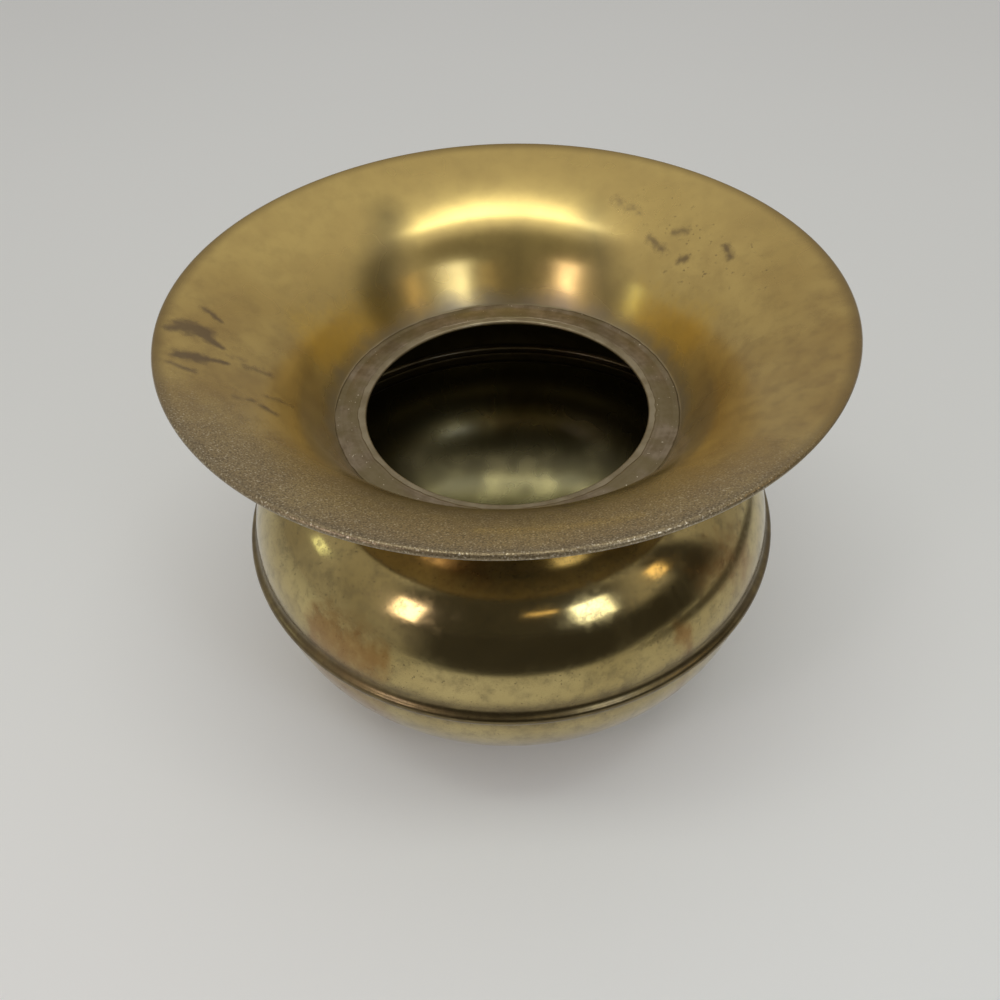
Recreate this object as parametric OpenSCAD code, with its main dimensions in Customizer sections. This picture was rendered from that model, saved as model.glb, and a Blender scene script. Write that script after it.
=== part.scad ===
// Brass spittoon: a spun mouth, a domed shoulder and a round-bottomed bowl.
// The shoulder's upper edge is folded over the mouth's throat. The bowl is
// sweated on under the shoulder's bead.
// Millimetres, +Z up. The origin is on the axis, on the surface that the foot ring stands on.

/* [Overall] */
// Height from the standing surface to the top of the rim
overall_h = 178; // [149:1:214]
// Outside diameter of the rim
rim_d = 254; // [212:1:305]

/* [Sheet brass] */
// Thickness of the spun sheet
sheet_t = 0.7; // [0.5:0.05:1]
// Play between two pieces that are pressed or sweated together
seat_play = 0.02; // [0.01:0.01:0.05]

/* [Wired rim] */
// Diameter of the wire inside the rolled rim
rim_wire_d = 1.3; // [1:0.1:2]
// How far round the wire the edge is rolled, in degrees
curl_wrap = 270; // [240:5:280]

/* [Mouth] */
// Diameter at the bend between the flare and the neck
bend_d = 168; // [162:1:180]
// Depth of that bend below the top of the rim
bend_drop = 25.5; // [22:0.1:30]
// Radius of the flare's long curve
flare_r = 140; // [110:5:300]
// Radius worked into the bend
bend_r = 50; // [20:5:60]
// Diameter where the neck's wall would meet the sloping floor
neck_d = 140; // [139:1:146]
// Radius worked into that corner
neck_r = 2.5; // [1.5:0.5:3.5]
// Slope of the mouth's floor down to the throat, in degrees
floor_slope = 4; // [0:1:8]

/* [Throat] */
// Clear diameter of the hole
throat_d = 115; // [96:1:116]
// Depth of the folded edge below the top of the rim
throat_drop = 52.6; // [50:0.1:60]
// Width of the shoulder's edge where it is folded down on the mouth's floor
lip_w = 4.2; // [3:0.1:4.5]
// Room between the cut edge of the mouth and the fold round it
edge_room = 0.3; // [0.1:0.1:0.5]
// Width of the solder run round the folded edge
throat_solder_w = 5; // [2:0.5:5.5]
// Height of that run's crown above the mouth's floor
throat_solder_h = 0.42; // [0.2:0.02:0.6]

/* [Shoulder] */
// Outside diameter where the dome ends, and of the bowl below it
body_d = 225; // [200:1:240]
// Radius of the dome's curve
dome_r = 49; // [41:1:54]
// How far the collar under the mouth is set in from the neck, on the radius
collar_inset = 3; // [1:0.5:6]
// Straight height of the collar
collar_h = 2.6; // [1:0.1:6]
// Radius at the collar's top edge
crest_r = 1.6; // [1.2:0.1:2.5]
// Radius between the collar and the dome
waist_r = 2; // [1:0.5:4]

/* [Seam] */
// How far the bead stands out from the dome, on the radius
bead_proud = 3; // [1.5:0.1:3.5]
// Radius of the bead
bead_r = 2.2; // [1.6:0.1:3]
// Radius of the crease between the dome and the bead
crease_r = 4; // [2:0.5:6]
// Height of the skirt that slips into the bowl
skirt_h = 4.8; // [3:0.1:8]
// Height of the solder run under the skirt
seam_solder_h = 1.2; // [0.6:0.1:2]

/* [Bowl] */
// Outside diameter of the foot ring
foot_d = 108; // [90:1:130]
// Depth of the wall's ellipse as a multiple of the wall's height
bowl_fullness = 1.08; // [1.02:0.01:1.2]
// Width of the foot ring
foot_ring_w = 8; // [5:0.5:12]
// Rise of the pushed-up middle of the bottom
bottom_rise = 1.5; // [0.5:0.1:3]
// Width of the slope up to the pushed-up middle
bottom_slope_w = 3; // [2:0.5:6]

/* [Hidden] */

// Largest gap between a curve and the straight pieces it is drawn with
curve_err = 0.01;
// Straight pieces in the bowl's ellipse
ellipse_steps = 40;
// Straight pieces in one full turn
turn_steps = 180;
// Straight pieces round the rim wire
wire_steps = 24;
brass = [0.66, 0.56, 0.31];
brass_inside = [0.5, 0.42, 0.25];
solder_grey = [0.55, 0.53, 0.5];
steel = [0.45, 0.45, 0.47];

function unit(a) = [cos(a), sin(a)];
function angle_of(v) = atan2(v[1], v[0]);
function reversed(list) = [for (i = [len(list) - 1:-1:0]) list[i]];
function joined(lists) = [for (list = lists) for (p = list) p];

// Straight pieces that keep an arc of radius r within curve_err
function arc_steps(r, sweep) = max(2, ceil(abs(sweep) / (2 * acos(1 - curve_err / r))));
// Points on the arc of radius r round c, from angle a0 to angle a1
function arc(c, r, a0, a1) =
    let (n = arc_steps(r, a1 - a0))
    [for (i = [0:n]) c + r * unit(a0 + (a1 - a0) * i / n)];

// Where two circles cross, on the right of the line from the first centre to the second
function cross_point(c0, r0, c1, r1) =
    let (
        d = norm(c1 - c0),
        along = (d * d + r0 * r0 - r1 * r1) / (2 * d),
        out = sqrt(r0 * r0 - along * along),
        dir = (c1 - c0) / d
    )
    c0 + along * dir + out * [dir[1], -dir[0]];

// The mouth's floor runs along floor_dir from fold_c, the centre of the fold.
// Its upper face is half a sheet above that line, and its lower face half a sheet below.
floor_dir = unit(floor_slope);
floor_up = unit(floor_slope + 90);
fold_in_r = sheet_t / 2 + seat_play;
fold_c = [throat_d / 2 + fold_in_r + sheet_t, overall_h - throat_drop];
function on_floor(along, up) = fold_c + along * floor_dir + up * floor_up;

// The mouth: floor, neck, bend, flare and rolled rim
rim_r = rim_wire_d / 2 + seat_play + sheet_t;
rim_c = [rim_d / 2 - rim_r, overall_h - rim_r];
neck_along = (neck_d / 2 - fold_c[0] + sheet_t / 2 * sin(floor_slope)) / cos(floor_slope);
neck_corner = on_floor(neck_along, sheet_t / 2);
bend_corner = [bend_d / 2, overall_h - bend_drop];
wall_slope = angle_of(bend_corner - neck_corner);
neck_c = neck_corner - neck_r * tan((wall_slope - floor_slope) / 2) * floor_dir + neck_r * floor_up;
flare_c = cross_point(bend_corner, flare_r, rim_c, flare_r - rim_r);
// The bend's centre is bend_r behind the wall, and the bend touches the flare from inside
wall_dir = unit(wall_slope);
behind_wall = bend_corner - bend_r * unit(wall_slope + 90);
flare_off = (flare_c - behind_wall) * wall_dir;
flare_side = norm(flare_c - behind_wall - flare_off * wall_dir);
bend_c = behind_wall
    + (flare_off - sqrt(pow(flare_r - bend_r, 2) - flare_side * flare_side) * sign(flare_off)) * wall_dir;
bend_a = angle_of(bend_c - flare_c);
rim_a = angle_of(rim_c - flare_c);

// The mouth's line at a depth s below its face
function mouth_line(s) = joined([
    [on_floor(edge_room, sheet_t / 2 - s)],
    arc(neck_c, neck_r + s, floor_slope - 90, wall_slope - 90),
    arc(bend_c, bend_r - s, wall_slope + 90, bend_a),
    arc(flare_c, flare_r - s, bend_a, rim_a),
    arc(rim_c, rim_r - s, rim_a, rim_a - curl_wrap)
]);

// The shoulder: folded lip, floor backing, collar, dome, bead and skirt
collar_r = neck_d / 2 - collar_inset;
crest_along = (collar_r - crest_r - fold_c[0] - (fold_in_r + crest_r) * sin(floor_slope)) / cos(floor_slope);
crest_c = on_floor(crest_along, -fold_in_r - crest_r);
dome_cr = body_d / 2 - dome_r;
waist_c = [collar_r + waist_r, crest_c[1] - collar_h];
dome_c = [dome_cr, waist_c[1] - sqrt(pow(dome_r + waist_r, 2) - pow(waist_c[0] - dome_cr, 2))];
bead_c = [body_d / 2 + bead_proud - bead_r, dome_c[1]];
crease_c = cross_point(bead_c, bead_r + crease_r, dome_c, dome_r + crease_r);
waist_a = angle_of(waist_c - dome_c);
crease_a = angle_of(crease_c - dome_c);
bead_a = angle_of(crease_c - bead_c);
skirt_r = body_d / 2 - sheet_t - seat_play;
bead_bottom = bead_c[1] - bead_r;
skirt_bottom = bead_bottom - skirt_h;

// The shoulder's line at a depth s behind its outside
function shoulder_line(s) = joined([
    [on_floor(lip_w, fold_in_r + s)],
    arc(fold_c, fold_in_r + s, floor_slope + 90, floor_slope + 270),
    arc(crest_c, crest_r - s, floor_slope + 90, 0),
    arc(waist_c, waist_r + s, 180, waist_a + 180),
    arc(dome_c, dome_r - s, waist_a, crease_a),
    arc(crease_c, crease_r + s, crease_a + 180, bead_a + 180),
    arc(bead_c, bead_r - s, bead_a, -90),
    [[skirt_r - s, bead_bottom + s], [skirt_r - s, skirt_bottom]]
]);

// The bowl: straight band round the skirt, elliptical wall, foot ring and pushed-up middle
bowl_top = bead_bottom - seat_play;
wall_top = skirt_bottom - seam_solder_h;
wall_depth = wall_top * bowl_fullness;
wall_a = asin(1 / bowl_fullness);
wall_half = (body_d - foot_d) / 2 / (1 - cos(wall_a));
wall_cr = body_d / 2 - wall_half;
ring_r = foot_d / 2 - foot_ring_w;

// Outside point of the ellipse at angle a, moved in by s square to the wall
function wall_point(a, s) =
    let (across = [cos(a) / wall_half, -sin(a) / wall_depth])
    [wall_cr + wall_half * cos(a), wall_top - wall_depth * sin(a)] - s * across / norm(across);

function bowl_line(s) = joined([
    [[body_d / 2 - s, bowl_top]],
    [for (i = [0:ellipse_steps - 1]) wall_point(wall_a * i / ellipse_steps, s)],
    [
        [foot_d / 2, s],
        [ring_r, s],
        [ring_r - bottom_slope_w, s + bottom_rise],
        [0, s + bottom_rise]
    ]
]);

// Turns the strip between a line at depth 0 and the same line at the sheet's depth
module spun(front, back) {
    rotate_extrude($fn = turn_steps)
        polygon(concat(front, reversed(back)));
}

module mouth() {
    color(brass)
        spun(mouth_line(0), mouth_line(sheet_t));
}

module rim_wire() {
    color(steel)
        rotate_extrude($fn = turn_steps)
            translate(rim_c)
                circle(d = rim_wire_d, $fn = wire_steps);
}

module shoulder() {
    color(brass)
        spun(shoulder_line(0), shoulder_line(sheet_t));
}

// Solder banked against the cut end of the folded lip, on the mouth's floor
module throat_solder() {
    floor_face = sheet_t / 2 + seat_play;
    lip_end = lip_w + seat_play;
    color(solder_grey)
        rotate_extrude($fn = turn_steps)
            polygon([
                on_floor(lip_end, floor_face),
                on_floor(lip_end + throat_solder_w, floor_face),
                on_floor(lip_end + throat_solder_w / 2, floor_face + throat_solder_h),
                on_floor(lip_end, fold_in_r + sheet_t)
            ]);
}

module bowl() {
    color(brass_inside)
        spun(bowl_line(0), bowl_line(sheet_t));
}

// Solder under the skirt's cut edge, against the inside of the bowl
module seam_solder() {
    color(solder_grey)
        rotate_extrude($fn = turn_steps)
            polygon([
                [skirt_r - sheet_t, skirt_bottom - seat_play],
                [skirt_r, skirt_bottom - seat_play],
                [skirt_r, wall_top]
            ]);
}

mouth();
rim_wire();
shoulder();
throat_solder();
bowl();
seam_solder();
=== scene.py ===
"""Brass spittoon: smooth spun sheets, solder runs and studio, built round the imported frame.

Profiles are worked out in millimetres, in the same way and with the same sizes as the CAD pieces.
Blender objects are in metres, with +Z up and the origin under the foot ring, as in the frame.
"""

import math

import bmesh
import bpy
import numpy as np
from mathutils import Matrix, Vector


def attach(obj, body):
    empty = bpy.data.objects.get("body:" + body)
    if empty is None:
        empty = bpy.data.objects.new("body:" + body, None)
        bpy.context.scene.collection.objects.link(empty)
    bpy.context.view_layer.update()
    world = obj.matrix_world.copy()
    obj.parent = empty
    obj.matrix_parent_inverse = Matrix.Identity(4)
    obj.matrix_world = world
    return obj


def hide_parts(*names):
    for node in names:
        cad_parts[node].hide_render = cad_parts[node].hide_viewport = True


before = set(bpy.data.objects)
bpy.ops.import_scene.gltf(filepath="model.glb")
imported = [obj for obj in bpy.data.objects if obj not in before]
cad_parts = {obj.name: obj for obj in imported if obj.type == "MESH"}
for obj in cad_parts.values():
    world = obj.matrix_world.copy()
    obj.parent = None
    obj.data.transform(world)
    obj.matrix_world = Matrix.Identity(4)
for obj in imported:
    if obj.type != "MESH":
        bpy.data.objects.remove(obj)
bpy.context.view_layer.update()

MM = 0.001

# Sizes of the spun pieces, in millimetres
OVERALL_H = 178.0
RIM_D = 254.0
SHEET_T = 0.7
SEAT_PLAY = 0.02
RIM_WIRE_D = 1.3
CURL_WRAP = 270.0
BEND_D = 168.0
BEND_DROP = 25.5
FLARE_R = 140.0
BEND_R = 50.0
NECK_D = 140.0
NECK_R = 2.5
FLOOR_SLOPE = 4.0
THROAT_D = 115.0
THROAT_DROP = 52.6
LIP_W = 4.2
EDGE_ROOM = 0.3
THROAT_SOLDER_W = 5.0
BODY_D = 225.0
DOME_R = 49.0
COLLAR_INSET = 3.0
COLLAR_H = 2.6
CREST_R = 1.6
WAIST_R = 2.0
BEAD_PROUD = 3.0
BEAD_R = 2.2
CREASE_R = 4.0
SKIRT_H = 4.8
SEAM_SOLDER_H = 1.2
FOOT_D = 108.0
BOWL_FULLNESS = 1.08
FOOT_RING_W = 8.0
BOTTOM_RISE = 1.5
BOTTOM_SLOPE_W = 3.0
# The smooth rounds are drawn this much inside the CAD rounds, so that they stay in its box
BOX_ROOM = 0.02

# Straight pieces in a full turn
TURN_STEPS = 384
# Longest step along a spun sheet's line
LINE_STEP = 1.9
# Widest turn between two points of an arc, in degrees
ARC_TURN = 9
# Room by which a sheet's square edges are broken
EDGE_BREAK = 0.07
RANDOM_SEED = 1893
# Points nearer than this are one point
SAME_POINT = 1e-6
# How far the solder is wiped in over the lip, and out past its CAD ring into the fillet under the wall
LIP_FILM = 2.4
TOE_WIPE = 2.3
# Height that its toe climbs there
TOE_CLIMB = 0.6
# Corners that turn by fewer degrees than this stay as they are
CORNER_TURN = 25
# A broken corner takes up no more than this share of the line on each side of it
MOST_BREAK = 0.3
# Steps along the tight bends, the mouth's wide bend, the waist and the bead
TIGHT_STEP = 0.3
BEND_STEP = 1.2
WAIST_STEP = 0.5
BEAD_STEP = 0.25
# Straight pieces along the bowl's rounded wall
WALL_STEPS = 80
# Points of the bowl this near each other are joined, and edges this short are dropped, in metres
POLE_JOIN = 1e-7
POLE_EDGE = 1e-8


# Lines of the spun sheets

def unit(angle):
    """Unit vector at an angle in degrees."""
    return np.array([math.cos(math.radians(angle)), math.sin(math.radians(angle))])


def angle_of(vector):
    """Angle of a vector in degrees."""
    return math.degrees(math.atan2(vector[1], vector[0]))


def arc(centre, radius, start, end, step=LINE_STEP):
    """Points on a circle from angle start to angle end: centre + radius * unit vector, a step or less apart,
    and at most ARC_TURN degrees apart."""
    sweep = math.radians(abs(end - start))
    count = max(4, math.ceil(sweep * radius / step), math.ceil(math.degrees(sweep) / ARC_TURN))
    angles = np.radians(np.linspace(start, end, count + 1))
    return centre + radius * np.stack([np.cos(angles), np.sin(angles)], axis=1)


def cross_point(first, first_r, second, second_r):
    """Where two circles cross, on the right of the line from the first centre to the second."""
    span = np.linalg.norm(second - first)
    along = (span ** 2 + first_r ** 2 - second_r ** 2) / (2 * span)
    out = math.sqrt(first_r ** 2 - along ** 2)
    ahead = (second - first) / span
    return first + along * ahead + out * np.array([ahead[1], -ahead[0]])


floor_dir = unit(FLOOR_SLOPE)
floor_up = unit(FLOOR_SLOPE + 90)
fold_in_r = SHEET_T / 2 + SEAT_PLAY
fold_c = np.array([THROAT_D / 2 + fold_in_r + SHEET_T, OVERALL_H - THROAT_DROP])


def on_floor(along, up):
    """Point at a distance along the mouth's sloping floor from the fold's centre, and a height over it."""
    return fold_c + along * floor_dir + up * floor_up


slope = math.radians(FLOOR_SLOPE)
rim_r = RIM_WIRE_D / 2 + SEAT_PLAY + SHEET_T
rim_c = np.array([RIM_D / 2 - rim_r - BOX_ROOM, OVERALL_H - rim_r - BOX_ROOM])
neck_corner = on_floor(
    (NECK_D / 2 - fold_c[0] + SHEET_T / 2 * math.sin(slope)) / math.cos(slope), SHEET_T / 2
)
bend_corner = np.array([BEND_D / 2, OVERALL_H - BEND_DROP])
wall_slope = angle_of(bend_corner - neck_corner)
neck_c = (
    neck_corner
    - NECK_R * math.tan(math.radians((wall_slope - FLOOR_SLOPE) / 2)) * floor_dir
    + NECK_R * floor_up
)
flare_c = cross_point(bend_corner, FLARE_R, rim_c, FLARE_R - rim_r)
wall_dir = unit(wall_slope)
behind_wall = bend_corner - BEND_R * unit(wall_slope + 90)
flare_off = (flare_c - behind_wall) @ wall_dir
flare_side = np.linalg.norm(flare_c - behind_wall - flare_off * wall_dir)
bend_reach = math.sqrt((FLARE_R - BEND_R) ** 2 - flare_side ** 2)
bend_c = behind_wall + (flare_off - math.copysign(bend_reach, flare_off)) * wall_dir
bend_a = angle_of(bend_c - flare_c)
rim_a = angle_of(rim_c - flare_c)


def mouth_line(depth):
    """The mouth's line at a depth below its face: floor, neck, bend, flare and rolled rim."""
    return np.concatenate([
        [on_floor(EDGE_ROOM, SHEET_T / 2 - depth)],
        arc(neck_c, NECK_R + depth, FLOOR_SLOPE - 90, wall_slope - 90, TIGHT_STEP),
        arc(bend_c, BEND_R - depth, wall_slope + 90, bend_a, BEND_STEP),
        arc(flare_c, FLARE_R - depth, bend_a, rim_a),
        arc(rim_c, rim_r - depth, rim_a, rim_a - CURL_WRAP, TIGHT_STEP),
    ])


collar_r = NECK_D / 2 - COLLAR_INSET
crest_c = on_floor(
    (collar_r - CREST_R - fold_c[0] - (fold_in_r + CREST_R) * math.sin(slope)) / math.cos(slope),
    -fold_in_r - CREST_R,
)
dome_centre_r = BODY_D / 2 - DOME_R
waist_c = np.array([collar_r + WAIST_R, crest_c[1] - COLLAR_H])
dome_c = np.array([
    dome_centre_r,
    waist_c[1] - math.sqrt((DOME_R + WAIST_R) ** 2 - (waist_c[0] - dome_centre_r) ** 2),
])
bead_c = np.array([BODY_D / 2 + BEAD_PROUD - BEAD_R, dome_c[1]])
crease_c = cross_point(bead_c, BEAD_R + CREASE_R, dome_c, DOME_R + CREASE_R)
waist_a = angle_of(waist_c - dome_c)
crease_a = angle_of(crease_c - dome_c)
bead_a = angle_of(crease_c - bead_c)
skirt_r = BODY_D / 2 - SHEET_T - SEAT_PLAY
bead_bottom = bead_c[1] - BEAD_R
skirt_bottom = bead_bottom - SKIRT_H


def shoulder_line(depth):
    """The shoulder's line at a depth behind its outside: folded lip, floor backing, collar, dome, bead and
    skirt."""
    return np.concatenate([
        [on_floor(LIP_W, fold_in_r + depth)],
        arc(fold_c, fold_in_r + depth, FLOOR_SLOPE + 90, FLOOR_SLOPE + 270, TIGHT_STEP),
        arc(crest_c, CREST_R - depth, FLOOR_SLOPE + 90, 0, TIGHT_STEP),
        arc(waist_c, WAIST_R + depth, 180, waist_a + 180, WAIST_STEP),
        arc(dome_c, DOME_R - depth, waist_a, crease_a),
        arc(crease_c, CREASE_R + depth, crease_a + 180, bead_a + 180, TIGHT_STEP),
        arc(bead_c, BEAD_R - depth, bead_a, -90, BEAD_STEP),
        [[skirt_r - depth, bead_bottom + depth], [skirt_r - depth, skirt_bottom]],
    ])


bowl_top = bead_bottom - SEAT_PLAY
wall_top = skirt_bottom - SEAM_SOLDER_H
wall_depth = wall_top * BOWL_FULLNESS
wall_end = math.asin(1 / BOWL_FULLNESS)
wall_half = (BODY_D - FOOT_D) / 2 / (1 - math.cos(wall_end))
wall_centre_r = BODY_D / 2 - wall_half
ring_r = FOOT_D / 2 - FOOT_RING_W


def bowl_line(depth):
    """The bowl's line at a depth behind its outside: straight band, quarter ellipse
    (centre + half width * cos, top - depth * sin), foot ring and pushed-up middle."""
    angles = np.linspace(0, wall_end, WALL_STEPS + 1)[:-1]
    out = np.stack([np.cos(angles) / wall_half, -np.sin(angles) / wall_depth], axis=1)
    wall = np.stack([
        wall_centre_r + wall_half * np.cos(angles),
        wall_top - wall_depth * np.sin(angles),
    ], axis=1)
    wall -= depth * out / np.linalg.norm(out, axis=1)[:, None]
    return np.concatenate([
        [[BODY_D / 2 - depth, bowl_top]],
        wall,
        [
            [FOOT_D / 2, depth],
            [ring_r, depth],
            [ring_r - BOTTOM_SLOPE_W, depth + BOTTOM_RISE],
            [0, depth + BOTTOM_RISE],
        ],
    ])


# Meshes

def eased(line):
    """A line whose sharp corners are each cut by two points, so that smooth shading stays crisp. A point that
    repeats the one before it, where two arcs meet, is dropped."""
    moves = np.linalg.norm(np.diff(line, axis=0), axis=1)
    line = line[np.append(True, moves > SAME_POINT)]
    points = [line[0]]
    for before, point, after in zip(line, line[1:], line[2:]):
        back = before - point
        ahead = after - point
        back_len, ahead_len = np.linalg.norm(back), np.linalg.norm(ahead)
        turn = 180 - math.degrees(math.acos(np.clip(back @ ahead / (back_len * ahead_len), -1, 1)))
        if turn < CORNER_TURN:
            points.append(point)
            continue
        points.append(point + back * min(EDGE_BREAK / back_len, MOST_BREAK))
        points.append(point + ahead * min(EDGE_BREAK / ahead_len, MOST_BREAK))
    points.append(line[-1])
    return np.array(points)


def stepped(line):
    """The same line with points added so that no step is longer than LINE_STEP."""
    pieces = []
    for start, end in zip(line, line[1:]):
        count = max(1, math.ceil(np.linalg.norm(end - start) / LINE_STEP))
        share = np.arange(count)[:, None] / count
        pieces.append(start + (end - start) * share)
    pieces.append(line[-1:])
    return np.concatenate(pieces)


def turned_points(line):
    """Points of the surface swept by a line: (r cos a, r sin a, z) at each turn angle a, for each point."""
    angles = np.linspace(0, 2 * np.pi, TURN_STEPS, endpoint=False)[:, None]
    radius = line[:, 0][None, :]
    height = np.broadcast_to(line[:, 1][None, :], (TURN_STEPS, len(line)))
    return np.stack([radius * np.cos(angles), radius * np.sin(angles), height], axis=2)


def grid_faces(turns, rings):
    """Quads of a grid of turns by rings that closes on itself both ways, facing out of the outline."""
    turn = np.arange(turns)[:, None]
    ring = np.arange(rings)[None, :]
    next_turn = (turn + 1) % turns
    next_ring = (ring + 1) % rings
    return np.stack([
        turn * rings + ring,
        turn * rings + next_ring,
        next_turn * rings + next_ring,
        next_turn * rings + ring,
    ], axis=2).reshape(-1, 4)


def mesh_object(name, points, faces, materials, face_material=None):
    """A smooth-shaded object at the origin, from points in millimetres and rows of quads."""
    mesh = bpy.data.meshes.new(name)
    mesh.from_pydata((points.reshape(-1, 3) * MM).tolist(), [], faces.tolist())
    mesh.polygons.foreach_set("use_smooth", np.ones(len(mesh.polygons), dtype=bool))
    for material in materials:
        mesh.materials.append(material)
    if face_material is not None:
        mesh.polygons.foreach_set("material_index", np.asarray(face_material, dtype=np.int32))
    mesh.validate()
    mesh.update()
    piece = bpy.data.objects.new(name, mesh)
    bpy.context.scene.collection.objects.link(piece)
    return piece


def wave(angles, counts, heights, phases):
    """Sum of height * cos(count * angle + phase), for unevenness that closes on itself round the piece."""
    total = np.zeros_like(angles)
    for count, height, phase in zip(counts, heights, phases):
        total = total + height * np.cos(count * angles + phase)
    return total


def smooth_step(value, start, end):
    """0 below start, 1 above end, and 3t^2 - 2t^3 between them."""
    t = np.clip((value - start) / (end - start), 0, 1)
    return t * t * (3 - 2 * t)


def spun_sheet(name, line_at, materials, shape=None, to_axis=False):
    """A spun sheet: the closed strip between its line at depth 0 and at the sheet's depth, turned round the
    axis. The first material is on the line at depth 0 and the second on the back. shape(points, angles) bends
    the points."""
    front = stepped(eased(line_at(0.0)))
    back = stepped(eased(line_at(SHEET_T)))
    outline = np.concatenate([front, back[::-1]])
    points = turned_points(outline)
    if shape is not None:
        points = shape(points, np.arctan2(points[..., 1], points[..., 0]))
    faces = grid_faces(TURN_STEPS, len(outline))
    ring = np.tile(np.arange(len(outline)), TURN_STEPS)
    piece = mesh_object(name, points, faces, materials, ring >= len(front) - 1)
    if to_axis:
        merge_poles(piece)
    return piece


def merge_poles(piece):
    """Joins the points that meet on the axis, so that the poles are closed."""
    work = bmesh.new()
    work.from_mesh(piece.data)
    bmesh.ops.remove_doubles(work, verts=work.verts, dist=POLE_JOIN)
    bmesh.ops.dissolve_degenerate(work, edges=work.edges, dist=POLE_EDGE)
    work.to_mesh(piece.data)
    work.free()


def moved(points, angles, out):
    """Points moved out from the axis, in millimetres."""
    shifted = points.copy()
    shifted[..., 0] += out * np.cos(angles)
    shifted[..., 1] += out * np.sin(angles)
    return shifted


def set_attribute(piece, name, values):
    """Stores one number for each point of a piece, for its material to read."""
    attribute = piece.data.attributes.new(name, "FLOAT", "POINT")
    attribute.data.foreach_set("value", np.asarray(values, dtype=np.float32).ravel())


def spots_field(points, spots):
    """The highest, over the spots, of 1 - (distance / size), where a spot is (x, y, length, width, turn) and
    the distance is measured in its own stretched and turned axes, seen from above."""
    field = np.zeros(points.shape[:-1])
    for x, y, length, width, turn in spots:
        east, north = points[..., 0] - x, points[..., 1] - y
        c, s = math.cos(math.radians(turn)), math.sin(math.radians(turn))
        along = (east * c + north * s) / length
        across = (north * c - east * s) / width
        field = np.maximum(field, 1 - np.sqrt(along ** 2 + across ** 2))
    return field


# Materials

# Spacing and depth of the rings left by the spinning tool, and size of the pits, in millimetres
RING_SIZE = 1.3
RING_DEPTH = 0.05
PIT_SIZE = 0.9
COAT_ROUGHNESS = 0.2
# How much smoother and duller than its stated roughness a spun sheet is, from its light to its dark clouds
SMOOTHER = 0.9
DULLER = 1.15
# Width of the dark line painted along the mouth's rim as a painted reflection, and how much of it is darkest,
# in millimetres
RIM_SHADE_W = 6
RIM_SHADE_DARK_W = 0.8
# How far past the mouth's floor the smear of solder starts to thin out, how far past it ends, and by how much
# its edge wanders in
SMEAR_START = 2.2
SMEAR_END = 8
SMEAR_WANDER = 5
# From the first to the second of these places along Y the mouth is painted brighter: a painted sheen on its
# far side
FAR_SHEEN_START = -50
FAR_SHEEN_END = 90
# How far the tarnish reaches up and down from the bead's middle: at full strength, and at its end
BEAD_TARNISH_FULL = 3
BEAD_TARNISH_END = 10


def linear(code):
    """Linear colour from an sRGB hex code."""
    values = np.array([int(code[i:i + 2], 16) for i in (1, 3, 5)]) / 255
    values = np.where(values <= 0.04045, values / 12.92, ((values + 0.055) / 1.055) ** 2.4)
    return (*[float(v) for v in values], 1.0)


def add(tree, kind, links=None, **settings):
    """Adds a node, sets its properties, and fills its sockets with values or with other nodes' outputs."""
    node = tree.nodes.new(kind)
    for key, value in settings.items():
        setattr(node, key, value)
    for key, value in (links or {}).items():
        if isinstance(value, bpy.types.NodeSocket):
            tree.links.new(value, node.inputs[key])
        else:
            node.inputs[key].default_value = value
    return node


def per_mm(size):
    """Scale of a pattern whose features are this many millimetres apart, on coordinates in metres."""
    return 1 / (size * MM)


def blended(tree, share, first, second):
    """Colour between two colours or sockets, by a share from 0 to 1."""
    return add(tree, "ShaderNodeMix", {0: share, 6: first, 7: second}, data_type="RGBA").outputs[2]


def ramped(tree, value, low, high, to_low=0.0, to_high=1.0):
    """A value mapped smoothly from one range to another, and clamped."""
    return add(
        tree, "ShaderNodeMapRange",
        {0: value, 1: low, 2: high, 3: to_low, 4: to_high}, interpolation_type="SMOOTHSTEP",
    ).outputs[0]


def maths(tree, operation, first, second=0.0):
    """One operation on two values or sockets."""
    return add(tree, "ShaderNodeMath", {0: first, 1: second}, operation=operation).outputs[0]


def times(tree, first, second):
    """Product of two values or sockets."""
    return maths(tree, "MULTIPLY", first, second)


def plus(tree, first, second):
    """Sum of two values or sockets."""
    return maths(tree, "ADD", first, second)


def noise(tree, place, size, detail=2.0, rough=0.5):
    """Cloudy noise with features of a size in millimetres."""
    return add(tree, "ShaderNodeTexNoise", {
        "Vector": place, "Scale": per_mm(size), "Detail": detail, "Roughness": rough,
    }).outputs["Fac"]


def new_material(name):
    """A material with an empty node tree; returns the material, the tree and the socket of the place on the
    object."""
    material = bpy.data.materials.new(name)
    material.use_nodes = True
    tree = material.node_tree
    tree.nodes.clear()
    place = add(tree, "ShaderNodeTexCoord").outputs["Object"]
    return material, tree, place


def finish_metal(tree, colour, roughness, normal, metallic=1.0, coat=0.0):
    """Ends a metal's tree: its colour, roughness and normal go to a Principled BSDF and the output."""
    shader = add(tree, "ShaderNodeBsdfPrincipled", {
        "Base Color": colour, "Roughness": roughness, "Metallic": metallic, "Normal": normal,
        "Coat Weight": coat, "Coat Roughness": COAT_ROUGHNESS,
    })
    add(tree, "ShaderNodeOutputMaterial", {"Surface": shader.outputs[0]})


def axis_place(tree, place):
    """The place seen from above, its distance from the axis, and that distance with the height: a vector on
    which a pattern runs round the piece as tool marks do."""
    split = add(tree, "ShaderNodeSeparateXYZ", {0: place})
    flat = add(tree, "ShaderNodeCombineXYZ", {0: split.outputs[0], 1: split.outputs[1]}).outputs[0]
    radius = add(tree, "ShaderNodeVectorMath", {0: flat}, operation="LENGTH").outputs["Value"]
    along = add(tree, "ShaderNodeCombineXYZ", {0: radius, 2: split.outputs[2]}).outputs[0]
    return flat, radius, along


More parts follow.
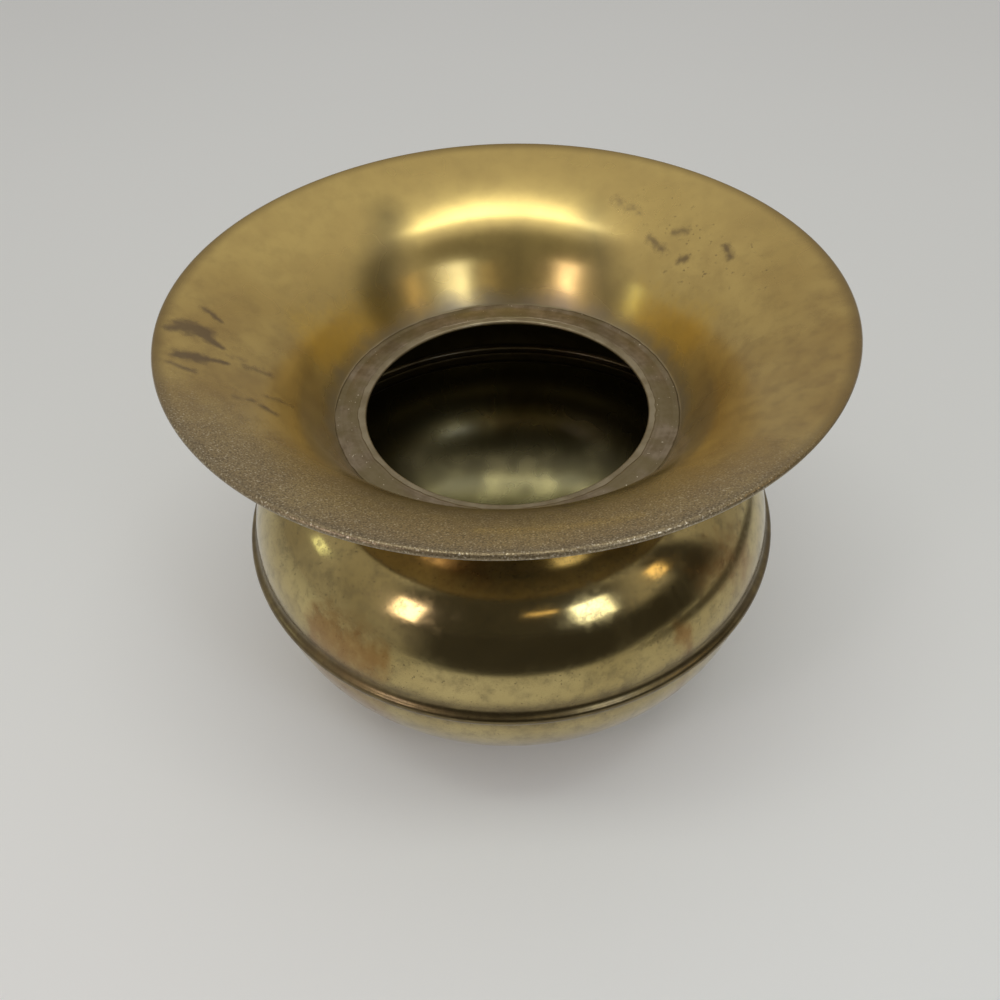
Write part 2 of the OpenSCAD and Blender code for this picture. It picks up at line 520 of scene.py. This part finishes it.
def stroke(tree, flat, start_x, start_y, end_x, end_y, start_w, end_w, depth):
    """How far a place lies inside a smudge drawn from one point to another, in millimetres seen from above:
    depth * (1 - distance from the line / half width there), where the half width changes evenly along it."""
    start = (start_x * MM, start_y * MM, 0)
    run = ((end_x - start_x) * MM, (end_y - start_y) * MM, 0)
    length = math.hypot(run[0], run[1])
    back = add(tree, "ShaderNodeVectorMath", {0: flat, 1: start}, operation="SUBTRACT").outputs[0]
    dot = add(tree, "ShaderNodeVectorMath", {0: back, 1: run}, operation="DOT_PRODUCT").outputs["Value"]
    share = add(
        tree, "ShaderNodeMath", {0: dot, 1: length ** 2}, operation="DIVIDE", use_clamp=True,
    ).outputs[0]
    reach = add(tree, "ShaderNodeVectorMath", {0: run, "Scale": share}, operation="SCALE").outputs[0]
    away = add(tree, "ShaderNodeVectorMath", {0: back, 1: reach}, operation="DISTANCE").outputs["Value"]
    width = add(tree, "ShaderNodeMapRange", {0: share, 3: start_w * MM, 4: end_w * MM}).outputs[0]
    inside = maths(tree, "SUBTRACT", 1.0, maths(tree, "DIVIDE", away, width))
    return times(tree, inside, depth)


def drawn(tree, flat, smudges):
    """How far a place lies inside the deepest of several smudges: -1 or more, and over 0 only inside one."""
    field = -1.0
    for smudge in smudges:
        field = maths(tree, "MAXIMUM", field, stroke(tree, flat, *smudge))
    return field


def ragged_edge(tree, place, size, detail, rough, height):
    """Noise on both sides of 0. Added to a field, it makes the field's edge ragged."""
    return times(tree, maths(tree, "SUBTRACT", noise(tree, place, size, detail, rough), 0.5), height)


def clouded(tree, place, size, light, dark):
    """Two hex-coded tints in soft clouds of a size in millimetres. Returns the colour and the clouds."""
    clouds = ramped(tree, noise(tree, place, size), 0.3, 0.7)
    return blended(tree, clouds, linear(light), linear(dark)), clouds


def washed(tree, colour, share, code):
    """A colour with a hex-coded tint laid over it, by a share from 0 to 1."""
    return blended(tree, share, colour, linear(code))


def tool_rings(tree, along):
    """Faint rings left by the spinning tool."""
    return noise(tree, along, RING_SIZE, 3, 0.7)


def bumped(tree, height, strength, depth, normal=None):
    """Normal bent by a pattern of heights, at a strength and a depth in millimetres, over a given one."""
    links = {"Strength": strength, "Distance": depth * MM, "Height": height}
    if normal is not None:
        links["Normal"] = normal
    return add(tree, "ShaderNodeBump", links).outputs[0]


def spun_brass(name, light, dark, roughness, cloud, ring_bump, pitting, metallic=1.0, coat=0.5):
    """Aged sheet brass, spun on a lathe and worn: two olive-gold tints in soft clouds, faint rings left by
    the spinning tool, and fine pits that hold brown tarnish."""
    material, tree, place = new_material(name)
    _, _, along = axis_place(tree, place)
    colour, clouds = clouded(tree, place, cloud, light, dark)
    pits = ramped(tree, noise(tree, place, PIT_SIZE, 1), 0.68, 0.78)
    colour = washed(tree, colour, times(tree, pits, pitting), "#5A482C")
    rough = ramped(tree, clouds, 0.0, 1.0, roughness * SMOOTHER, roughness * DULLER)
    normal = bumped(tree, tool_rings(tree, along), ring_bump, RING_DEPTH)
    finish_metal(tree, colour, rough, normal, metallic, coat)
    return material


def mouth_brass(name, light, dark, roughness):
    """The mouth's brass, spun and handled for long: olive gold in soft clouds, brown mottling and drifts, a
    painted sheen that makes the far side brighter, a painted reflection as a dark line along the rim, brown
    smudges, painted reflections as warmer gold patches and as smooth dark olive zones, specks where the
    attribute specks says so, a grey smear of solder above the throat, and gritty corrosion with painted
    sparkle where the attribute grit says so.
    Its film of tarnish is dull, so it is less metallic."""
    material, tree, place = new_material(name)
    flat, radius, along = axis_place(tree, place)
    colour, clouds = clouded(tree, place, 34, light, dark)
    mottle = noise(tree, place, 7, 4, 0.6)
    colour = washed(tree, colour, ramped(tree, mottle, 0.4, 0.75, 0.0, 0.4), "#80663C")
    drifts = noise(tree, place, 22, 3, 0.6)
    colour = washed(tree, colour, ramped(tree, drifts, 0.42, 0.72, 0.0, 0.45), "#957745")
    rough = ramped(tree, clouds, 0.0, 1.0, roughness * SMOOTHER, roughness * DULLER)

    # Painted sheen: the far side of the mouth is painted a brighter gold
    far = add(tree, "ShaderNodeSeparateXYZ", {0: place}).outputs[1]
    far_sheen = ramped(tree, far, FAR_SHEEN_START * MM, FAR_SHEEN_END * MM, 0.0, 0.45)
    colour = washed(tree, colour, far_sheen, "#E8CF82")
    # Painted reflection: a dark line painted along the rim
    rim_shade_start = (RIM_D / 2 - RIM_SHADE_W) * MM
    rim_shade_end = (RIM_D / 2 - RIM_SHADE_DARK_W) * MM
    colour = washed(tree, colour, ramped(tree, radius, rim_shade_start, rim_shade_end, 0.0, 0.75), "#77623C")

    ragged = ragged_edge(tree, place, 3, 3, 0.6, 1.2)
    stain = ramped(tree, plus(tree, drawn(tree, flat, MOUTH_SMUDGES), ragged), -0.05, 0.95, 0.0, 0.78)
    # Painted reflections: warmer gold patches painted on the walls
    warm_reflection = ramped(tree, plus(tree, drawn(tree, flat, MOUTH_WARM_REFLECTIONS), ragged), -0.4, 1.1, 0.0, 0.6)
    colour = washed(tree, colour, warm_reflection, "#E2BC55")
    # Painted reflections: dark olive zones painted on the far wall
    dull = ramped(tree, drawn(tree, flat, MOUTH_DARK_REFLECTIONS), 0.0, 1.0, 0.0, 0.6)
    colour = washed(tree, colour, dull, "#6A5F3F")
    speck_place = add(tree, "ShaderNodeAttribute", attribute_name="specks").outputs["Fac"]
    specks = ramped(tree, noise(tree, place, 2.0, 1), 0.66, 0.76, 0.0, 0.55)
    stain = maths(tree, "MAXIMUM", stain, times(tree, specks, speck_place))
    colour = washed(tree, colour, stain, "#65533F")
    rough = plus(tree, rough, times(tree, stain, 0.15))

    wavy_radius = plus(tree, radius, times(tree, noise(tree, place, 12), SMEAR_WANDER * MM))
    smear_start = (NECK_D / 2 + SMEAR_START) * MM
    smear_end = (NECK_D / 2 + SMEAR_END) * MM
    smear = ramped(tree, wavy_radius, smear_start, smear_end, 0.9, 0.0)
    colour = washed(tree, colour, smear, "#978B72")
    rough = plus(tree, rough, times(tree, smear, 0.14))

    grit = add(tree, "ShaderNodeAttribute", attribute_name="grit").outputs["Fac"]
    grains = noise(tree, place, 0.62, 1)
    colour = washed(tree, colour, times(tree, grit, 0.5), "#938A76")
    holes = times(tree, ramped(tree, grains, 0.5, 0.64), grit)
    colour = washed(tree, colour, times(tree, holes, 0.55), "#4E4230")
    # Painted glints: pale sparkle painted into the grit
    glints = times(tree, ramped(tree, grains, 0.28, 0.4, 1.0, 0.0), grit)
    colour = washed(tree, colour, times(tree, glints, 0.5), "#F2EAD4")
    rough = plus(tree, rough, times(tree, grit, 0.1))

    ringed = bumped(tree, tool_rings(tree, along), 0.12, RING_DEPTH)
    gritty = bumped(tree, times(tree, grains, grit), 1.0, 0.15, ringed)
    finish_metal(tree, colour, rough, gritty, 0.7, 0.2)
    return material


def body_brass(name, light, dark, roughness):
    """The body's brass, spun and once polished: olive gold with a mottled brown film, brown patches, and
    thick dull tarnish over the bead and in its crease, where no cloth reaches."""
    material, tree, place = new_material(name)
    flat, _, along = axis_place(tree, place)
    colour, _ = clouded(tree, place, 40, light, dark)
    film_most = 0.45
    film = ramped(tree, noise(tree, place, 6, 5, 0.65), 0.42, 0.72, 0.0, film_most)
    colour = washed(tree, colour, film, "#6E6243")
    pits = ramped(tree, noise(tree, place, PIT_SIZE, 1), 0.64, 0.76, 0.0, 0.6)
    colour = washed(tree, colour, pits, "#4A3F2A")
    rough = ramped(tree, film, 0.0, film_most, roughness * SMOOTHER, roughness * 1.6)

    ragged = ragged_edge(tree, place, 5, 4, 0.65, 1.6)
    brown = ramped(tree, plus(tree, drawn(tree, flat, BODY_BROWN), ragged), -0.3, 1.0, 0.0, 0.75)
    colour = washed(tree, colour, brown, "#8A6128")

    height = add(tree, "ShaderNodeSeparateXYZ", {0: place}).outputs[2]
    off_bead = maths(tree, "ABSOLUTE", maths(tree, "SUBTRACT", height, bead_c[1] * MM))
    tarnish = ramped(tree, off_bead, BEAD_TARNISH_FULL * MM, BEAD_TARNISH_END * MM, 0.95, 0.0)
    uneven = ramped(tree, noise(tree, place, 7, 3, 0.6), 0.2, 0.7, 0.75, 1.0)
    tarnish = times(tree, tarnish, uneven)
    colour = washed(tree, colour, tarnish, "#625439")
    rough = plus(tree, rough, times(tree, brown, 0.1))
    rough = plus(tree, rough, times(tree, tarnish, 0.22))
    normal = bumped(tree, tool_rings(tree, along), 0.06, RING_DEPTH)
    finish_metal(tree, colour, rough, normal, 0.95, 0.3)
    return material


def soft_solder(name):
    """Tin-lead solder wiped smooth over brass and oxidised: dull mauve grey with olive clouds and faint
    streaks along the run, and a few bright rubbed crumbs."""
    material, tree, place = new_material(name)
    _, _, along = axis_place(tree, place)
    streaks = plus(
        tree, times(tree, noise(tree, along, 1.4), 0.22), times(tree, noise(tree, place, 6, 4, 0.6), 0.78),
    )
    colour = blended(tree, ramped(tree, streaks, 0.35, 0.65), linear("#807159"), linear("#9C8E79"))
    olive = ramped(tree, noise(tree, place, 18), 0.4, 0.62, 0.0, 0.7)
    colour = washed(tree, colour, olive, "#7F7350")
    crumbs = ramped(tree, noise(tree, place, 1.1, 1), 0.74, 0.8)
    colour = washed(tree, colour, crumbs, "#E8DFC8")
    finish_metal(tree, colour, 0.4, bumped(tree, streaks, 0.35, 0.12), 0.9, 0.1)
    return material


def drawn_wire(name):
    """Drawn iron wire with mill scale: dark grey and satin, in two tints."""
    material, tree, place = new_material(name)
    streaks = noise(tree, place, 4, 3, 0.6)
    colour = blended(tree, streaks, linear("#4C4A48"), linear("#706C68"))
    finish_metal(tree, colour, 0.45, bumped(tree, streaks, 0.2, 0.05))
    return material


# x and y where each smudge on the mouth starts and ends, its half widths there, and how dark it is
MOUTH_SMUDGES = [
    (-121, -13, -117, -9, 3.4, 6.0, 0.9),
    (-117, -9, -111, -9, 6.4, 5.6, 1.2),
    (-112, -10, -104, -14, 4.6, 1.8, 1.1),
    (-113, 5, -107, 1, 2.6, 1.8, 0.8),
    (-115, -27, -109, -25, 4.0, 5.0, 1.1),
    (-110, -25, -101, -22, 4.0, 1.8, 1.0),
    (-116, -33, -109, -34, 2.4, 2.4, 0.7),
    (-95, -19, -89, -17, 2.6, 3.0, 0.6),
    (-93, -41, -89, -39, 2.8, 2.4, 0.5),
    (-86, -40, -82, -42, 2.2, 2.4, 0.8),
    (-86, -32, -80, -29, 1.8, 2.4, 0.6),
    (-101, -17, -97, -16, 1.8, 2.2, 0.4),
    (51, 90, 56, 84, 3.0, 3.0, 0.5),
    (58, 84, 61, 80, 2.8, 2.2, 0.45),
    (64, 68, 69, 60, 2.6, 2.8, 0.65),
    (74, 65, 78, 64, 2.6, 3.2, 0.7),
    (75, 52, 77, 51, 2.6, 2.6, 0.9),
    (92, 48, 93, 41, 2.2, 2.8, 0.75),
]
# The same, for warmer gold patches: painted reflections of warm surroundings
MOUTH_WARM_REFLECTIONS = [
    (-77, 20, -54, 52, 10, 7, 1.0),
    (56, 48, 76, 20, 8, 9, 1.0),
    (-9, -111.4, 14, -111.7, 2.5, 3, 0.7),
    (14, -111.7, 38, -109, 3, 2.5, 0.7),
]
# The same, for smooth dark olive zones on the far wall: painted reflections of dark surroundings
MOUTH_DARK_REFLECTIONS = [
    (-50, 84, -54, 54, 15, 15, 1.0),
    (40, 84, 46, 58, 15, 14, 0.8),
    (8, 88, 6, 74, 10, 12, 0.35),
]
# The same, for brown patches on the body, seen from above
BODY_BROWN = [
    (-76, -80, -62, -91, 6, 7, 1.0),
    (-62, -91, -48, -98, 7, 4, 0.9),
    (68, -74, 90, -57, 6, 8, 0.7),
    (61, -90, 65, -89, 3, 3, 1.0),
    (-20, -80, -12, -82, 7, 6, 0.5),
]

mouth_face = mouth_brass("spun_brass_satin", "#C3A864", "#AB8E50", 0.24)
mouth_back = spun_brass("spun_brass_under_mouth", "#B8A070", "#A08858", 0.3, 30, 0.12, 0.4)
dome_face = body_brass("spun_brass_polished", "#C0AD74", "#AA965E", 0.14)
dull_inside = spun_brass("spun_brass_dull_inside", "#6E6346", "#54472E", 0.42, 20, 0.3, 0.6)
bowl_inside = spun_brass("spun_brass_bowl_inside", "#7E7650", "#5E5736", 0.27, 25, 0.2, 0.5)
lip_face = spun_brass("spun_brass_worn_lip", "#A0947A", "#8A7D62", 0.36, 8, 0.1, 0.5, 0.75, 0.2)
solder = soft_solder("soft_solder_oxidised")
wire_finish = drawn_wire("drawn_iron_wire")


# Pieces

random = np.random.default_rng(RANDOM_SEED)

# How far the rim is pushed in at the middle of each of its lobes is twice this, in millimetres
RIM_WAVE = 0.35
RIM_LOBES = 4
# Clouds of specks on the mouth: x, y, length, width and turn of each
SPECK_CLOUDS = [(80, 54, 34, 20, -60), (70, 78, 22, 14, -50), (98, 30, 26, 12, -75)]
# The grit covers the near side: it grows from the first to the second of these distances, along a line turned
# a little from -Y by the lean, and from the first to the second of these radii
GRIT_NEAR = (48, 104)
GRIT_RADII = (84, 100)
GRIT_LEAN = 0.2
# Place of the worn lip among the shoulder's materials
LIP_SLOT = 2


def mouth_shape(points, angles):
    """The flare is slightly out of true: its edge is pushed in at each lobe, and fades to true at the bend."""
    radius = np.hypot(points[..., 0], points[..., 1])
    share = smooth_step(radius, BEND_D / 2, RIM_D / 2)
    out = -RIM_WAVE * (1 - np.cos(RIM_LOBES * angles)) * share
    return moved(points, angles, out)


mouth = spun_sheet("mouth_sheet", mouth_line, [mouth_face, mouth_back], mouth_shape)
mouth_points = np.array([v.co for v in mouth.data.vertices]) / MM
mouth_radius = np.hypot(mouth_points[:, 0], mouth_points[:, 1])
set_attribute(mouth, "specks", smooth_step(spots_field(mouth_points, SPECK_CLOUDS), 0, 0.6))
nearness = smooth_step(-mouth_points[:, 1] - GRIT_LEAN * mouth_points[:, 0], *GRIT_NEAR)
set_attribute(mouth, "grit", nearness * smooth_step(mouth_radius, *GRIT_RADII))

shoulder = spun_sheet("shoulder_sheet", shoulder_line, [dome_face, dull_inside, lip_face])
face_heights = np.array([face.center[2] for face in shoulder.data.polygons]) / MM
face_slots = np.array([face.material_index for face in shoulder.data.polygons], dtype=np.int32)
face_slots[face_heights > fold_c[1]] = LIP_SLOT
shoulder.data.polygons.foreach_set("material_index", face_slots)
bowl = spun_sheet("bowl_sheet", bowl_line, [dome_face, bowl_inside], to_axis=True)


# The solder run's turns are this many times finer than a sheet's, and it has this many points from lip to toe
RUN_FINER = 2
RUN_STEPS = 17
# The waves go round the run a whole number of times each: the first number, and all up to below the second.
# Then the heights of the waves in its toe, heel and crown
RUN_WAVES = (3, 90)
TOE_WAVE = 0.12
HEEL_WAVE = 0.16
CROWN_WAVE = 0.015
# How far its crown lies over the folded lip, and over the straight bank between the waves
CROWN_OVER = 0.07
CROWN_LEAST = 0.02
# Where the bank starts to fall, before the lip's edge, and where the climb starts, before the CAD ring's end
FALL_BEFORE = 0.4
CLIMB_BEFORE = 0.5
# Share of the climb that the run's underside takes part in
UNDER_CLIMB = 0.4


def solder_run():
    """The throat's solder: a bank from the top of the folded lip down to the mouth's floor. Its height falls
    as a power of a cosine from the lip to its toe, and its crown, heel and toe wander round the ring."""
    turns = TURN_STEPS * RUN_FINER
    angles = np.linspace(0, 2 * np.pi, turns, endpoint=False)
    counts = np.arange(*RUN_WAVES)
    phases = random.uniform(0, 2 * np.pi, (3, len(counts)))
    falling = 1.5 / (counts ** 0.7)
    toe = wave(angles, counts, TOE_WAVE * falling, phases[0])[:, None]
    heel = wave(angles, counts, HEEL_WAVE * falling, phases[1])[:, None]
    lump = wave(angles, counts, CROWN_WAVE * falling, phases[2])[:, None]
    share = np.linspace(0, 1, RUN_STEPS)[None, :]
    lip_end = LIP_W + SEAT_PLAY
    ring_end = lip_end + THROAT_SOLDER_W
    start = lip_end - LIP_FILM + heel
    end = ring_end + TOE_WIPE + toe
    along = start + (end - start) * share
    high = fold_in_r + SHEET_T + CROWN_OVER
    low = SHEET_T / 2 + SEAT_PLAY
    down = np.clip((along - lip_end + FALL_BEFORE) / (THROAT_SOLDER_W + TOE_WIPE), 0, 1)
    up = low + (high - low) * np.cos(down * np.pi / 2) ** 0.8
    climb = TOE_CLIMB * smooth_step(along, ring_end - CLIMB_BEFORE, ring_end + TOE_WIPE)
    up = up + climb + (np.abs(lump) + CROWN_LEAST) * np.sin(share * np.pi)
    under_up = low + UNDER_CLIMB * climb[:, ::-1]
    along = np.concatenate([along, along[:, ::-1]], axis=1)
    up = np.concatenate([up, under_up], axis=1)
    radius = fold_c[0] + along * floor_dir[0] + up * floor_up[0]
    height = fold_c[1] + along * floor_dir[1] + up * floor_up[1]
    east = radius * np.cos(angles)[:, None]
    north = radius * np.sin(angles)[:, None]
    points = np.stack([east, north, height], axis=2)
    return mesh_object("throat_solder_run", points, grid_faces(turns, along.shape[1]), [solder])


throat_solder = solder_run()

for piece, node, slot in (
    (mouth, "mouth", "mouth_brass"),
    (shoulder, "shoulder", "shoulder_brass"),
    (bowl, "bowl", "bowl_brass"),
    (throat_solder, "throat_solder", "soft_solder"),
):
    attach(piece, "root")
    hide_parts(node)

for node, material in (("rim_wire", wire_finish), ("seam_solder", solder)):
    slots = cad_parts[node].data.materials
    slots.clear()
    slots.append(material)


# Studio

# How far below the foot the floor lies, and half its width, in metres
FLOOR_DROP = 0.0002
FLOOR_HALF = 8
# Where the felt of a flag starts to thin out, as a share of the way from its centre to its edge
FELT_FULL = 0.5
FELT_DARK = "#34312E"
# The point that the small soft lights face
LIGHT_AIM = (0, 0, 0.12)


def matt_floor(name, code):
    """Matt painted board: one pale tone with a trace of mottling, no gloss. It is clear from below, which
    lets views from under it see the foot."""
    material, tree, place = new_material(name)
    mottle = add(tree, "ShaderNodeTexNoise", {"Vector": place, "Scale": 3.0, "Detail": 2.0}).outputs["Fac"]
    tone = linear(code)
    darker = (*[0.97 * v for v in tone[:3]], 1.0)
    surface = add(tree, "ShaderNodeBsdfPrincipled", {
        "Base Color": blended(tree, mottle, tone, darker), "Roughness": 0.9, "Specular IOR Level": 0.2,
    }).outputs[0]
    below = add(tree, "ShaderNodeNewGeometry").outputs["Backfacing"]
    gap = add(tree, "ShaderNodeBsdfTransparent").outputs[0]
    shown = add(tree, "ShaderNodeMixShader", {0: below, 1: surface, 2: gap}).outputs[0]
    add(tree, "ShaderNodeOutputMaterial", {"Surface": shown})
    return material


def board(name, centre, across, down, material):
    """A flat four-cornered board round a centre, from its two half-side vectors, in metres."""
    centre, across, down = (np.array(v, dtype=float) for v in (centre, across, down))
    corners = [
        centre - across - down, centre + across - down, centre + across + down, centre - across + down,
    ]
    mesh = bpy.data.meshes.new(name)
    mesh.from_pydata([c.tolist() for c in corners], [], [(0, 1, 2, 3)])
    mesh.materials.append(material)
    piece = bpy.data.objects.new(name, mesh)
    bpy.context.scene.collection.objects.link(piece)
    return piece


board(
    "floor", (0, 0, -FLOOR_DROP), (FLOOR_HALF, 0, 0), (0, FLOOR_HALF, 0), matt_floor("matt_floor", "#EEF1F4"),
)


def softbox(name, place, aim, width, height, power, tint=(1, 1, 1)):
    """A rectangular soft light at a place, facing a point."""
    lamp = bpy.data.lights.new(name, "AREA")
    lamp.shape = "RECTANGLE"
    lamp.size, lamp.size_y = width, height
    lamp.energy = power
    lamp.color = tint
    holder = bpy.data.objects.new(name, lamp)
    holder.visible_camera = False
    bpy.context.scene.collection.objects.link(holder)
    ahead = Vector(aim) - Vector(place)
    holder.matrix_world = Matrix.Translation(place) @ ahead.to_track_quat("-Z", "Y").to_matrix().to_4x4()


softbox("overhead_strip", (-0.05, -0.17, 1.6), (-0.05, -0.01, 0.16), 1.4, 0.22, 4.3, (0.98, 1, 0.86))
softbox("front_left", (-0.262, -0.296, 0.319), LIGHT_AIM, 0.075, 0.11, 0.15, (1, 0.84, 0.86))
softbox("front_right", (0.179, -0.291, 0.311), LIGHT_AIM, 0.09, 0.1, 0.15, (0.86, 0.92, 1))
softbox("overhead_fill", (-0.1, -0.32, 1.6), (-0.1, -0.1, 0.16), 1.9, 0.5, 1.1)
softbox("front_glow", (0.05, -0.253, 0.287), LIGHT_AIM, 0.055, 0.008, 0.004, (1, 0.75, 0.4))
softbox("left_pane", (-0.39, -0.035, 0.26), LIGHT_AIM, 0.05, 0.05, 0.014, (0.88, 1, 0.72))
softbox("right_glow", (0.243, -0.138, 0.267), LIGHT_AIM, 0.03, 0.05, 0.012, (1, 0.72, 0.36))


def felt_flag(name, centre, across, down, code):
    """A felt board that only darkens what the brass reflects: the camera doesn't see it, it throws no shadow,
    and it thins out towards its edges."""
    material, tree, place = new_material("felt_of_" + name)
    away = add(tree, "ShaderNodeVectorMath", {0: place, 1: centre}, operation="SUBTRACT").outputs[0]
    reach = 0.0
    for side in (across, down):
        steps = tuple(v / math.hypot(*side) ** 2 for v in side)
        dot = add(tree, "ShaderNodeVectorMath", {0: away, 1: steps}, operation="DOT_PRODUCT")
        share = dot.outputs["Value"]
        reach = maths(tree, "MAXIMUM", reach, maths(tree, "ABSOLUTE", share))
    felt = add(tree, "ShaderNodeBsdfPrincipled", {
        "Base Color": linear(code), "Roughness": 0.95, "Specular IOR Level": 0.1,
    })
    gap = add(tree, "ShaderNodeBsdfTransparent")
    thinness = ramped(tree, reach, FELT_FULL, 1.0)
    shown = add(tree, "ShaderNodeMixShader", {0: thinness, 1: felt.outputs[0], 2: gap.outputs[0]})
    add(tree, "ShaderNodeOutputMaterial", {"Surface": shown.outputs[0]})
    flag = board(name, centre, across, down, material)
    flag.visible_camera = False
    flag.visible_diffuse = False
    flag.visible_shadow = False


felt_flag("flag_wall", (0.1, -1.1, 0.3), (1.3, 0, 0), (0, 0.1, 0.95), FELT_DARK)
felt_flag("flag_top", (0, -0.85, 1.0), (1.3, 0, 0), (0, 0.3, 0.55), "#4A4743")
felt_flag("flag_low", (0.15, -1.15, 0.004), (0.8, 0, 0), (0, 0.62, 0), FELT_DARK)
felt_flag("flag_low_right", (0.62, -0.12, 0.004), (0.3, 0, 0), (0, 0.45, 0), "#55514C")
felt_flag("flag_right", (1.0, -0.2, 0.75), (0.03, 0.22, 0), (0, 0, 0.75), FELT_DARK)
felt_flag("flag_right_wall", (0.95, -0.65, 0.3), (0.25, 0.4, 0), (0, 0, 0.4), "#3A3733")

world = bpy.data.worlds.new("studio")
bpy.context.scene.world = world
world.use_nodes = True
world_tree = world.node_tree
world_tree.nodes.clear()
sky = add(world_tree, "ShaderNodeTexCoord").outputs["Generated"]
sky_z = add(world_tree, "ShaderNodeSeparateXYZ", {0: sky}).outputs[2]
sky_height = ramped(world_tree, sky_z, 0.0, 0.9)
sky_colour = blended(world_tree, sky_height, linear("#A8A4A0"), linear("#BEBAB5"))
background = add(world_tree, "ShaderNodeBackground", {"Color": sky_colour, "Strength": 1.0})
add(world_tree, "ShaderNodeOutputWorld", {"Surface": background.outputs[0]})

# Camera: the photograph's place, direction, roll and field, from the fitted rims. Place in metres, angles in
# radians
FOCAL_PIXELS = 900
IMAGE_PIXELS = 1000
SENSOR_MM = 36
CAMERA_PLACE = (0.0, -0.28556, 0.36282)
PITCH = 0.79891
ROLL = -0.03912
YAW = -0.01531
CLIP_START = 0.01
ahead = Vector((
    math.sin(YAW) * math.cos(PITCH), math.cos(YAW) * math.cos(PITCH), -math.sin(PITCH),
))
level = Vector((math.cos(YAW), -math.sin(YAW), 0))
above = level.cross(ahead)
right_side = math.cos(ROLL) * level + math.sin(ROLL) * above
top_side = -math.sin(ROLL) * level + math.cos(ROLL) * above
lens = bpy.data.cameras.new("camera")
lens.sensor_width = SENSOR_MM
lens.lens = FOCAL_PIXELS / IMAGE_PIXELS * SENSOR_MM
lens.clip_start = CLIP_START
camera = bpy.data.objects.new("camera", lens)
bpy.context.scene.collection.objects.link(camera)
turn = Matrix((right_side, top_side, -ahead)).transposed().to_4x4()
camera.matrix_world = Matrix.Translation(CAMERA_PLACE) @ turn
bpy.context.scene.camera = camera
bpy.context.scene.view_settings.view_transform = "Standard"

bpy.context.view_layer.update()
